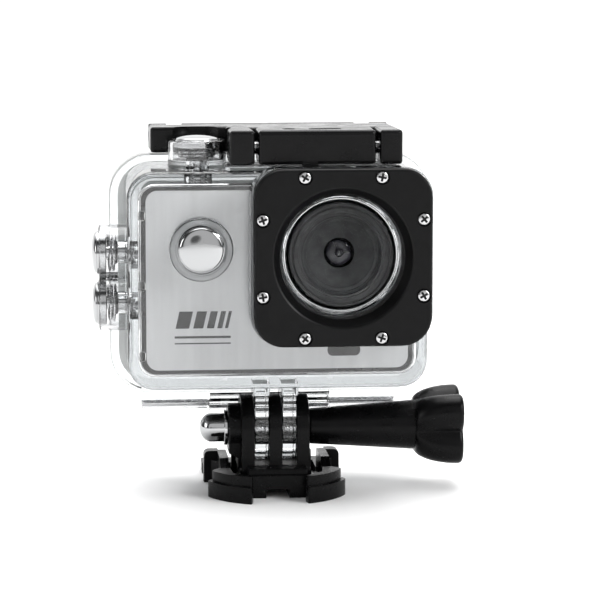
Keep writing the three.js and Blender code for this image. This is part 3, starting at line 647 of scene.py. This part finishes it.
def rear_door():
    """The door: plate with a raised panel, two outer knuckles, latch lugs and a seal groove."""
    joins = [block("y", (54, 38), 4, 16, 18.2, (0, 0.6), (0, FLANGE_MID[1] + 1.4))]
    cuts = [
        bore("x", KNUCKLE_BORE, -40, 40, DOOR_LINE),
        bore("x", LATCH_BORE, -40, 40, LATCH_LINE),
    ]
    web = [(14, 21), (17, 21), (17.6, 17.5), (14.2, 17.5)]
    for side in SIDES:
        low, high = sorted(end * side for end in DOOR_KNUCKLE)
        lug = LUG_X * side
        joins.append(disc("x", KNUCKLE_RADIUS, low, high, DOOR_LINE, (0.25, 0.25), 40))
        joins.append(prism("x", web, low, high))
        joins.append(disc("x", LUG_RADIUS, lug - 1.5, lug + 1.5, LATCH_LINE, (0.3, 0.3), 40))
        joins.append(block("z", (3, 3), 0.3, FLANGE_HIGH - 1, LATCH_Z, (0, 0), (lug, 15.5)))
    base = block("y", FLANGE_SIZE, FLANGE_CORNER, 14, 17, (0.3, 0.9), FLANGE_MID)
    door = combined(base, joins, cuts)
    # the groove lies between an outline set in by 1.8 and one set in by 3.7
    ring = [
        block("y", (FLANGE_SIZE[0] - 2 * v, FLANGE_SIZE[1] - 2 * v), FLANGE_CORNER - v,
              13 - k, 15 + k, (0, 0), FLANGE_MID)
        for k, v in enumerate((1.8, 3.7))
    ]
    groove = combined(ring[0], cuts=[ring[1]])
    return combined(door, cuts=[groove])


def lens_bezel():
    """The black bezel with its flared mouth and a counterbore for each screw."""
    base = block("y", (BEZEL_SIDE, BEZEL_SIDE), BEZEL_CORNER, -23.2, -20.3, (0.7, 0.2), LENS)
    mouth = [
        (16.2, -23.7), (15.6, -23.2), (15.2, -22.95), (15.05, -22.6), (13.8, -20.3), (13.5, -19.8),
    ]
    counterbore = [(1.75, -23.5), (1.6, -23.1), (1.55, -22.2), (0.9, -22.2), (0.9, -20)]
    cuts = [turned("y", mouth, LENS, 96)]
    cuts += [turned("y", counterbore, centre, 28) for centre in screw_centres()]
    return combined(base, cuts=cuts)


def cross_screw():
    """A pan head with a cross recess, about its own axis at y = 0, its top towards -Y."""
    shank = [(0, 5.9), (0.6, 5.9), (0.6, 0)]
    head = [(1.3, 0), (1.3, -0.4), (1.22, -0.6), (1.0, -0.74), (0.5, -0.8), (0, -0.8)]
    slots = [block("y", size, 0.12, -1, -0.25, (0, 0)) for size in ((1.85, 0.5), (0.5, 1.85))]
    return combined(turned("y", [*shank, *head], segments=32), cuts=slots)


def paint_recess_shade(thing, deeper_than):
    """Gives the faces that lie deeper than a place along Y a dark material: painted shade at the
    bottom of a driven recess.
    """
    thing.data.materials.append(RECESS_PAINTED_SHADE)
    for face in thing.data.polygons:
        inside = math.hypot(face.center.x, face.center.z) < 0.98 * MM
        if inside and deeper_than * MM < face.center.y < 0:
            face.material_index = 1


def build_screws():
    """Eight screws that share one mesh, each turned by its own angle."""
    shared = None
    for i, (x, z) in enumerate(screw_centres(), 1):
        bm = bmesh.new() if shared else cross_screw()
        screw = stand_for(f"bezel_screw_{i}", bm, SCREW_STEEL)
        if not shared:
            paint_recess_shade(screw, -0.66)
            shared = screw.data
        screw.data = shared
        at = Matrix.Translation((x * MM, -22.4 * MM, z * MM))
        screw.matrix_local = at @ Matrix.Rotation(0.7 * i, 4, "Y")


def build_housing():
    stand_for("housing_front_shell", front_shell(), POLYCARBONATE)
    stand_for("rear_door", rear_door(), POLYCARBONATE)
    stand_for("lens_bezel", lens_bezel(), BEZEL_BLACK)
    window = disc("y", WINDOW_RADIUS, -20.15, -18.1, LENS, (0.25, 0.25), 96)
    stand_for("lens_window", window, WINDOW_GLASS)
    stand_for("window_seal", cad_copy("window_seal"), RUBBER)
    build_screws()
    seal = block("y", (69, 50.9), 7.5, 13.6, 14.9, (0.2, 0.2), FLANGE_MID)
    hollow = block("y", (66, 47.9), 6, 13, 15.5, (0, 0), FLANGE_MID)
    stand_for("door_seal", combined(seal, cuts=[hollow]), SILICONE)
    pin = disc("x", 0.8, -29, 29, DOOR_LINE, (0.2, 0.2), 32)
    stand_for("door_hinge_pin", pin, STEEL)


# ---------------------------------------------------------------- push buttons
STEM, SPRING_RADIUS, SPRING_WIRE, SPRING_TURNS, WIRE_SIDES = 1.5, 3.9, 0.3, 2.25, 8


def plunger_body(button):
    """A plunger: its stem with the clip's groove, and a domed cap."""
    cap, low, edge, apex = button["cap"], button["underside"], button["edge"], button["apex"]
    dome = [
        ((cap - 0.25) * math.cos(a), edge + (apex - edge) * math.sin(a)) for a in quarter_turn(12)
    ]
    end = -button["wall"] - button["reach"]
    groove = 0.35 - button["wall"]
    profile = [
        (0, end), (STEM - 0.15, end), (STEM, end + 0.15),
        (STEM, groove), (1.0, groove), (1.0, groove + 0.8), (STEM, groove + 0.8), (STEM, low),
        (cap - 0.2, low), (cap, low + 0.2), (cap, edge - 0.25), (cap - 0.08, edge - 0.08), *dome,
    ]
    return turned(button["axis"], out(button, profile), button["centre"], 72)


def lofted(bm, loops, closed):
    """Faces a tube through loops of verts, and caps its ends unless it closes on itself."""
    following = loops[1:] + loops[:1] if closed else loops[1:]
    for a, b in zip(loops, following):
        for k in range(len(a)):
            j = (k + 1) % len(a)
            bm.faces.new((a[k], a[j], b[j], b[k]))
    if not closed:
        bm.faces.new(loops[0])
        bm.faces.new(loops[-1])
    bmesh.ops.recalc_face_normals(bm, faces=bm.faces[:])
    return bm


def coil(button):
    """A compression spring between the boss floor and the cap's underside."""
    low = button["floor"] + SPRING_WIRE + 0.1
    high = button["underside"] - SPRING_WIRE - 0.1
    steps = int(SPRING_TURNS * 40)
    bm = bmesh.new()
    rows = []
    for i in range(steps + 1):
        share = i / steps
        angle = 2 * math.pi * SPRING_TURNS * share
        height = low + (high - low) * share
        ring = []
        for around in full_turn(WIRE_SIDES):
            radius = SPRING_RADIUS + SPRING_WIRE * math.cos(around)
            u, v = on_circle(button["centre"], radius, angle)
            w = button["face"] + button["out"] * (height + SPRING_WIRE * math.sin(around))
            ring.append(bm.verts.new(place((u, v, w), button["axis"])))
        rows.append(ring)
    return lofted(bm, rows, closed=False)


def seal_ring(button):
    """The round seal at the bottom of the cup."""
    radius, wire = 2.2, 0.4
    height = button["floor"] + 0.45
    section = [(radius + wire * math.cos(a), height + wire * math.sin(a)) for a in full_turn(12)]
    bm = bmesh.new()
    rows = []
    for angle in full_turn(48):
        row = []
        for reach, w in out(button, section):
            u, v = on_circle(button["centre"], reach, angle)
            row.append(bm.verts.new(place((u, v, w), button["axis"])))
        rows.append(row)
    return lofted(bm, rows, closed=True)


def build_buttons():
    for name, button in BUTTONS.items():
        stand_for(f"{name}_plunger", plunger_body(button), CHROME)
        spring = stand_for(f"{name}_spring", coil(button), STEEL, flat_weighted=False)
        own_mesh(spring)
        stand_for(f"{name}_plunger_seal", seal_ring(button), RUBBER)
        clip = f"{name}_retaining_clip"
        stand_for(clip, cad_copy(clip, 0.08), STEEL)


# ---------------------------------------------------------------- latch
LATCH_TOP, LATCH_FRONT, LATCH_FRONT_LOW, LATCH_LOW = 82.2, -15.4, 74.6, 75.9
LATCH_ENDS, LEVER_ENDS = (-27.3, 27.4), (-4.3, 21.5)
TOP_SLOPE, SLOPES_ABOVE = 0.025, 79


def lever_body():
    """The flip lever: a rounded plate with a nose below and a round and a long recess on top."""
    low, high, front = LATCH_FRONT_LOW, LATCH_TOP, LATCH_FRONT
    heel = arc(LEVER_LINE, 3.55, 5, -84, 14)
    corners = [
        (LEVER_Y, low, 0), (front, low, 0.9), (front, high, 1.1), (LEVER_Y + 3.8, high, 1.4),
    ]
    nose = block("z", (3.6, 1.2), 0.2, 73.5, low + 1, (0.15, 0), (7, front + 0.6))
    cuts = [
        bore("x", LEVER_BORE, -5, 22, LEVER_LINE),
        disc("z", 1.5, high - 0.5, high + 1, (2.6, -11.2), (0.1, 0), 32),
        block("z", (7.2, 2.4), 0.9, high - 0.5, high + 1, (0.1, 0), (10.6, -11.2)),
    ]
    plate = prism("x", heel + filleted(corners), *LEVER_ENDS, 0.8, clamp=False)
    return combined(plate, [nose], cuts)


def frame_body():
    """The latch frame: a bar that slopes down to its hinge, with two prongs that hold the lever."""
    front, high = LATCH_FRONT, LATCH_TOP
    # x from and to, y from and to, underside, how far the top is below the latch's top;
    # faces that would coincide are a little apart, so that they join cleanly
    plates = []
    for x0, x1, y0, y1, low, drop in (
        (-10.6, 27.38, -2.3, 15.8, LATCH_LOW, 0.02),
        (-27.3, -9, 2.6, 15.8, LATCH_LOW, 0.04),
        (-10.62, -5.1, front, 0.5, LATCH_FRONT_LOW, 0),
        (22.4, 27.4, front, 1, LATCH_FRONT_LOW, 0),
    ):
        centre = ((x0 + x1) / 2, (y0 + y1) / 2)
        plates.append(block("z", (x1 - x0, y1 - y0), 0.95, low, high - drop, (0.7, 0.8), centre))
    bar = combined(plates[0], plates[1:])
    for vert in bar.verts:
        if vert.co.z > SLOPES_ABOVE * MM:
            vert.co.z -= TOP_SLOPE * (vert.co.y - front * MM)
    knuckle = disc("x", 2.9, *LATCH_ENDS, LATCH_LINE, (0.4, 0.4), 64)
    cuts = [
        bore("z", 7.6, 74, 83, BUTTONS["shutter"]["centre"], 72),
        bore("x", LATCH_BORE, -28, 28, LATCH_LINE),
        bore("x", LEVER_BORE, -11, 28, LEVER_LINE),
    ]
    for side in SIDES:
        cuts.append(block("z", (3.6, 7), 0.2, 75, 83, (0, 0), (LUG_X * side, LATCH_Y + 0.3)))
    return combined(bar, [knuckle], cuts)


def build_latch():
    stand_for("latch_frame", frame_body(), LATCH_BLACK)
    stand_for("latch_lever", lever_body(), LATCH_BLACK)
    hinge_pin = disc("x", 0.9, -25, 25, LATCH_LINE, (0.2, 0.2), 32)
    lever_pin = disc("x", 1.0, -9.6, 26.4, LEVER_LINE, (0.2, 0.2), 32)
    stand_for("latch_hinge_pin", hinge_pin, STEEL)
    stand_for("latch_lever_pin", lever_pin, STEEL)


# ---------------------------------------------------------------- buckle and thumb screw
BOLT_BORE = 2.7


def knob_body():
    """The thumb screw's knob: a slim neck that flares into a head with four lobes."""
    waist, head, end, valley, tip, turn = 5.6, 31.8, 42.6, 6.4, 9.7, 0.9
    flare_end = end - 1
    # (x, radius) along the neck, then along the head, then round its far rim
    stations = [
        (7.9, 3.7), (8.15, 3.95), (8.6, 4.05), (12, 4.26), (16, 4.52), (20, 4.8), (24, 5.08),
        (28, 5.36), (31.2, 5.58),
    ]
    shares = (0, 0.01, 0.03, 0.06, 0.1, 0.15, 0.22, 0.3, 0.4, 0.5, 0.62, 0.75, 0.88)
    stations += [(head + (flare_end - head) * share, waist) for share in shares]
    stations += [(flare_end + math.sin(a), waist - 1 + math.cos(a)) for a in quarter_turn(6)]
    loops = []
    for x, base in stations:
        share = min(max((x - head) / (flare_end - head), 0), 1)
        flare = math.sqrt(1 - (1 - share) ** 2)
        ring = []
        for angle in full_turn(144):
            crest = ((1 + math.cos(4 * (angle - turn))) / 2) ** 0.6
            radius = base + flare * (valley - waist + (tip - valley) * crest)
            ring.append((*on_circle(CLAMP_LINE, radius, angle), x))
        loops.append(ring)
    return combined(stacked(loops, "x"), cuts=[bore("x", BOLT_BORE, 7, 20, CLAMP_LINE, 40)])


def nut_body():
    """The polished cap nut: a flange and a domed head."""
    radius, shoulder = 3.25, -14.2
    dome = [(radius * math.cos(a), shoulder - 2.6 * math.sin(a)) for a in quarter_turn(10)]
    flange = [(0, -10.5), (3.85, -10.5), (4.0, -10.65), (4.0, -11.15), (3.85, -11.3)]
    body = turned("x", [*flange, (radius, -11.3), *dome], CLAMP_LINE, 72)
    return combined(body, cuts=[bore("x", BOLT_BORE, -14.5, -10, CLAMP_LINE, 40)])


def threaded_bolt():
    """A bolt whose surface carries a helical thread, kept inside its clearance."""
    pitch, crest, root, low, high = 0.8, 2.4, 2.1, -13.9, 19.5
    sides = 24
    steps = int((high - low) / pitch * 4)
    rows = []
    for i in range(steps + 1):
        x = low + (high - low) * i / steps
        row = []
        for k, angle in enumerate(full_turn(sides)):
            phase = (x / pitch + k / sides) % 1
            radius = root + (crest - root) * (1 - abs(2 * phase - 1))
            row.append((*on_circle(CLAMP_LINE, radius, angle), x))
        rows.append(row)
    return stacked(rows, "x")


# the release arms: their root's axis, and the x range of the strip that springs
ARM_X, ARM_Y = 11.4, 17
ARM_INSIDE, ARM_OUTSIDE = 10.4, 12.4


def arm_body(side):
    """A sprung release arm: its strip, wall, locking barb, rounded stop and thumb pad."""

    def outline(corners):
        return filleted([(side * x, y, radius) for x, y, radius in corners])

    # (x, y, corner radius) seen from above, for the right arm
    inside = [(5.8, -17.2, 0.4), (9.9, -13.4, 2), (ARM_INSIDE, -7.6, 0)]
    pad = [
        (ARM_OUTSIDE, -7.6, 0.4), (14.9, -8.9, 0.5), (15.4, -9.9, 0),
        *bowed((15.3, -10.5), (7.2, -19.3), 1.1), (6.3, -19.8, 0.6), *inside,
    ]
    rest = [
        (ARM_OUTSIDE, -7.6, 0.4), (13.9, -8.9, 0.5), (14.4, -9.9, 0),
        *bowed((14.3, -10.4), (7.0, -18.0), 1.0), (6.2, -18.4, 0.7), *inside,
    ]
    barb = [(12.0, 9, 0), (15.2, 8.9, 0.5), (15.6, 7.4, 0.5), (12.0, 3.6, 0)]
    # (x, z, corner radius) seen from the front, and (y, z, corner radius) seen from the side
    stop = [(12.2, 0, 0), (15.5, 0, 0), (15.5, 7.3, 1.4), (12.2, 7.3, 0)]
    wall = [(8, 0, 0), (8, 7.3, 1), (-3, 7.3, 1.5), (-9.8, 4.2, 1.5), (-9.8, 0, 0)]
    root = arc((side * ARM_X, ARM_Y), 1, 0, 180, 12)
    strip = [*root, (side * ARM_X - 1, -9), (side * ARM_X + 1, -9)]
    joins = [
        prism("x", filleted(wall), *sorted((side * ARM_INSIDE, side * ARM_OUTSIDE))),
        prism("z", outline(barb), 0, 5.2),
        prism("y", outline(stop), 5.6, 9.02),
        prism("z", outline(pad), 0, 3.6),
        prism("z", outline(rest), 0, 5.9),
    ]
    return round_edges(combined(prism("z", strip, 0, 2.6), joins), 0.4, 50, 3)


def base_body():
    """The base: block, front lip, tongue, rear skirt, cross wall, three fingers and nut boss."""
    top, half = 5.6, 1.45
    root = top - 0.3
    lip = [
        (-13.3, 0), (-13.3, 5.0), (-13.05, 5.2), (-13.3, 5.45), (-13.1, 6.3), (-12.8, 6.6),
        (-8.5, 6.6), (-8.5, 0),
    ]
    boss = [(5.2, -10.4), (5.5, -10.1), (5.5, -7)]
    gusset = [
        (-10.35, PIVOT_Z), (-10.35, 8.6), (-8.3, 7.5), (-8.3, root), (-7, root), (-7, PIVOT_Z),
    ]
    foot = [(-8.3, root), (8.3, root), (7.5, top + 1.6), (-7.5, top + 1.6)]
    joins = [
        prism("x", lip, -6.6, 6.6, 0.3),
        block("z", (16, 16), 0.3, 0, 2.6, (0.1, 0.2), (0, 8)),
        block("z", (30.8, 6.4), 0.5, 0, 2.6, (0.15, 0.3), (0, 18.8)),
        turned("x", boss, CLAMP_LINE, 64),
        block("z", (18.4, 1.8), 0.4, 0, 7.2, (0, 0.3), (0, 7.5)),
        prism("y", gusset, -4.6, 4.6),
    ]
    for step in (-2, 0, 2):
        x = step * FINGER_PITCH
        joins.append(prism("x", finger_outline(7.5, root), x - half, x + half, 0.3))
        joins.append(prism("x", foot, x - half, x + half))
    cuts = [
        block("y", (5.2, 4), 0.2, -14, 23, (0, 0), (0, 0)),
        bore("x", CLAMP_BORE, -12, 9, CLAMP_LINE, 48),
    ]
    for side in SIDES:
        cuts.append(bore("z", 1.1, -1, 4, (side * ARM_X, ARM_Y)))
        cuts.append(block("z", (2.9, 4.4), 0.05, -1, 4, (0, 0), (side * ARM_X, 14.75)))
    return combined(block("z", (16, 17), 0.8, 0, top, (0.15, 0.4)), joins, cuts)


def build_buckle():
    stand_for("buckle_base", base_body(), BUCKLE_BLACK)
    for name, side in zip(("left", "right"), SIDES):
        stand_for(f"release_arm_{name}", arm_body(side), BUCKLE_BLACK)
    stand_for("cap_nut", nut_body(), CHROME)
    stand_for("thumb_screw_knob", knob_body(), BUCKLE_BLACK)
    stand_for("thumb_screw_bolt", threaded_bolt(), STEEL, flat_weighted=False)


# ---------------------------------------------------------------- camera
PLATE_FACE, BARREL_FACE, LENS_RADIUS = -12.0, -17.3, 3.3


def barrel_body():
    """The lens barrel: a ringed face, a seat for its glass and a stepped cone before the lens."""
    face = BARREL_FACE
    tail = [(0, 0.5), (8, 0.5), (8, -9.4), (11.5, -9.4)]
    rings = [
        (11.5, face + 0.25), (11.25, face), (10.95, face), (10.85, face + 0.45),
        (10.5, face + 0.45), (10.4, face + 0.12), (9.6, face + 0.12), (9.4, face + 0.4),
        (9.0, face + 0.4), (8.9, -15.9), (8.3, -15.9),
    ]
    cone = [(8.2, -15.6), (7.5, -15.5), (7.2, -15.0), (5.4, -14.0), (3.4, -12.9)]
    return turned("y", [*tail, *rings, *cone, (3.4, -9), (0, -9)], LENS, 96)


def collar_body():
    """The polished ring round the barrel: a tube with a rounded front."""
    middle_radius, half, front = 12.45, 0.65, -15.4
    bulge = [
        (middle_radius - half * math.cos(a), front - 1.0 * math.sin(a))
        for a in [math.pi * i / 12 for i in range(13)]
    ]
    profile = [(11.8, PLATE_FACE + 0.1), *bulge, (13.1, PLATE_FACE + 0.1)]
    return turned("y", profile, LENS, 96)


def element_body():
    """The lens: a shallow dome with a small raised centre."""
    outer = [(LENS_RADIUS * math.cos(a), -11.2 - 1.4 * math.sin(a)) for a in quarter_turn(10)[:8]]
    centre = [(1.0 * math.cos(a), -12.55 - 0.6 * math.sin(a)) for a in quarter_turn(8)]
    return turned("y", [(0, -9.2), (LENS_RADIUS, -9.2), *outer, *centre], LENS)


def build_camera():
    stand_for("camera_case", cad_copy("camera_case", 0.35, 3), CASE_BLACK)
    stand_for("camera_front_plate", cad_copy("camera_front_plate", 0.2, 3), SILVER)
    stand_for("camera_back_cover", cad_copy("camera_back_cover", 0.4, 3), CASE_BLACK)
    stand_for("lcd_screen", cad_copy("lcd_screen", 0.2), SCREEN)
    stand_for("lens_barrel", barrel_body(), LENS_DARK_PAINTED_HAZE)
    on_plate("lens_collar", collar_body(), COLLAR_METAL)
    glass = disc("y", 8.6, -16.6, -16, LENS, (0.1, 0.1), 72)
    stand_for("lens_cover_glass", glass, WINDOW_GLASS)
    stand_for("lens_element", element_body(), COATED_LENS)
    for node, material, rim in (
        ("image_sensor_board", BOARD, 0.05),
        ("main_board", BOARD, 0.05),
        ("battery", LABEL_GREY, 0.5),
        ("battery_door", CASE_BLACK, 0.15),
        ("speaker", CASE_BLACK, 0.2),
        ("memory_card", CASE_BLACK, 0.1),
        ("usb_socket", STEEL, 0.2),
        ("hdmi_socket", STEEL, 0.2),
        ("camera_power_button", CHROME, 0.25),
        ("camera_shutter_button", CHROME, 0.25),
        ("camera_up_button", CHROME, 0.25),
        ("camera_down_button", CHROME, 0.25),
    ):
        stand_for(node, cad_copy(node, rim), material)


def on_plate(name, bm, material):
    """A piece without a CAD node of its own, fixed to the camera's front plate."""
    piece(name, bm, material, nodes["camera_front_plate"]["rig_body"])


def build_print():
    """Printed marks on the silver face: slanted bars over two thin lines, and a plain dark pill."""
    back, front = PLATE_FACE + 0.02, PLATE_FACE - 0.03
    bar_low, bar_high, slant = 38.4, 42.2, 0.9
    marks = bmesh.new()
    for offset, width in ((0, 3.0), (3.9, 2.2), (6.9, 1.6), (9.2, 1.1), (10.9, 0.7)):
        left = -22.6 + offset
        bar = [
            (left, bar_low), (left + width, bar_low),
            (left + width + slant, bar_high), (left + slant, bar_high),
        ]
        add_to(marks, prism("y", bar, front, back))
    for low, high in ((36.2, 36.7), (34.9, 35.2)):
        centre = (-16.6, (low + high) / 2)
        add_to(marks, block("y", (12.4, high - low), 0.1, front, back, (0, 0), centre))
    add_to(marks, block("y", (7.3, 2.6), 1.2, front, back, (0, 0), (14.7, 33.2)))
    on_plate("plate_print", marks, PRINT_GREY)


def add_to(bm, other):
    """Adds the faces of other to bm."""
    mesh = bpy.data.meshes.new("part")
    other.to_mesh(mesh)
    other.free()
    bm.from_mesh(mesh)
    bpy.data.meshes.remove(mesh)


# ---------------------------------------------------------------- stage
# direction, half angle of the bright middle and of the faded edge in degrees, radiance
STUDIO_PATCHES = [
    ((0, 1, 0.2), 30, 68, 1.35),
    ((0, 0.25, 1), 22, 40, 2.2),
    ((-1, -0.15, 0.4), 8, 16, 0.9),
    ((1, -0.35, 0.45), 16, 25, 3.0),
    ((0.05, -1, 0.2), 26, 40, 0.75),
    ((-0.09, -1, 0.14), 4, 9, -0.65),  # darker, where the photographer's camera stands
]
AMBIENT_PER_PATCH, DARKEST = 0.07, 0.03

# name, place in metres, side in metres, watts
LAMPS = [
    ("key_right", (0.75, -0.6, 0.6), 0.35, 4.5),
    ("fill_left", (-0.9, -0.35, 0.3), 0.4, 2.2),
    ("top", (0, 0.25, 1.1), 0.8, 7),
]


def build_world():
    """A dim studio with bright patches behind, above, in front and at both sides."""
    world = bpy.data.worlds.new("studio")
    world.use_nodes = True
    tree = world.node_tree
    coordinates = tree.nodes.new("ShaderNodeTexCoord")
    total = None
    for direction, inner, outer, radiance in STUDIO_PATCHES:
        dot = tree.nodes.new("ShaderNodeVectorMath")
        dot.operation = "DOT_PRODUCT"
        dot.inputs[1].default_value = Vector(direction).normalized()
        patch = tree.nodes.new("ShaderNodeMapRange")
        patch.interpolation_type = "SMOOTHSTEP"
        patch.inputs["From Min"].default_value = math.cos(math.radians(outer))
        patch.inputs["From Max"].default_value = math.cos(math.radians(inner))
        patch.inputs["To Max"].default_value = radiance
        tree.links.new(coordinates.outputs["Generated"], dot.inputs[0])
        tree.links.new(dot.outputs["Value"], patch.inputs["Value"])
        add = tree.nodes.new("ShaderNodeMath")
        add.inputs[1].default_value = AMBIENT_PER_PATCH
        tree.links.new(patch.outputs["Result"], add.inputs[0])
        if total:
            tree.links.new(total, add.inputs[1])
        total = add.outputs["Value"]
    darkest = tree.nodes.new("ShaderNodeMath")
    darkest.operation = "MAXIMUM"
    darkest.inputs[1].default_value = DARKEST
    tree.links.new(total, darkest.inputs[0])
    tree.links.new(darkest.outputs["Value"], tree.nodes["Background"].inputs["Strength"])
    tree.nodes["Background"].inputs["Color"].default_value = (1, 1, 1, 1)
    bpy.context.scene.world = world


def build_stage():
    floor_mesh = bmesh.new()
    bmesh.ops.create_grid(floor_mesh, x_segments=1, y_segments=1, size=8)
    floor = loose(floor_mesh, "floor")
    paper = new_material("pale_floor", (0.93, 0.93, 0.93), 0.9)
    vary_roughness(paper, noise(paper, 30), 0.85, 0.95)
    floor.data.materials.append(paper)
    aim = Vector((0, 0, 0.045))
    for name, place_m, side_m, watts in LAMPS:
        light = bpy.data.lights.new(name, "AREA")
        light.shape = "SQUARE"
        light.size = side_m
        light.energy = watts
        lamp = bpy.data.objects.new(name, light)
        lamp.location = place_m
        lamp.rotation_euler = (aim - lamp.location).to_track_quat("-Z", "Y").to_euler()
        bpy.context.scene.collection.objects.link(lamp)


def build_camera_view():
    """The camera looks slightly down at the housing from a little to its left."""
    azimuth, elevation, distance_m = math.radians(-5), math.radians(8), 0.65
    target = Vector((0.00607, 0, 0.04265))
    level = math.cos(elevation)
    back = Vector((math.sin(azimuth) * level, -math.cos(azimuth) * level, math.sin(elevation)))
    data = bpy.data.cameras.new("view")
    data.lens = 173
    data.sensor_width = 36
    data.clip_start, data.clip_end = 0.05, 30
    camera = bpy.data.objects.new("view", data)
    camera.location = target + back * distance_m
    camera.rotation_euler = (-back).to_track_quat("-Z", "Y").to_euler()
    bpy.context.scene.collection.objects.link(camera)
    bpy.context.scene.camera = camera
    bpy.context.scene.view_settings.view_transform = "Standard"


build_camera_view()
build_world()
build_stage()
build_housing()
build_buttons()
build_latch()
build_buckle()
build_camera()
build_print()
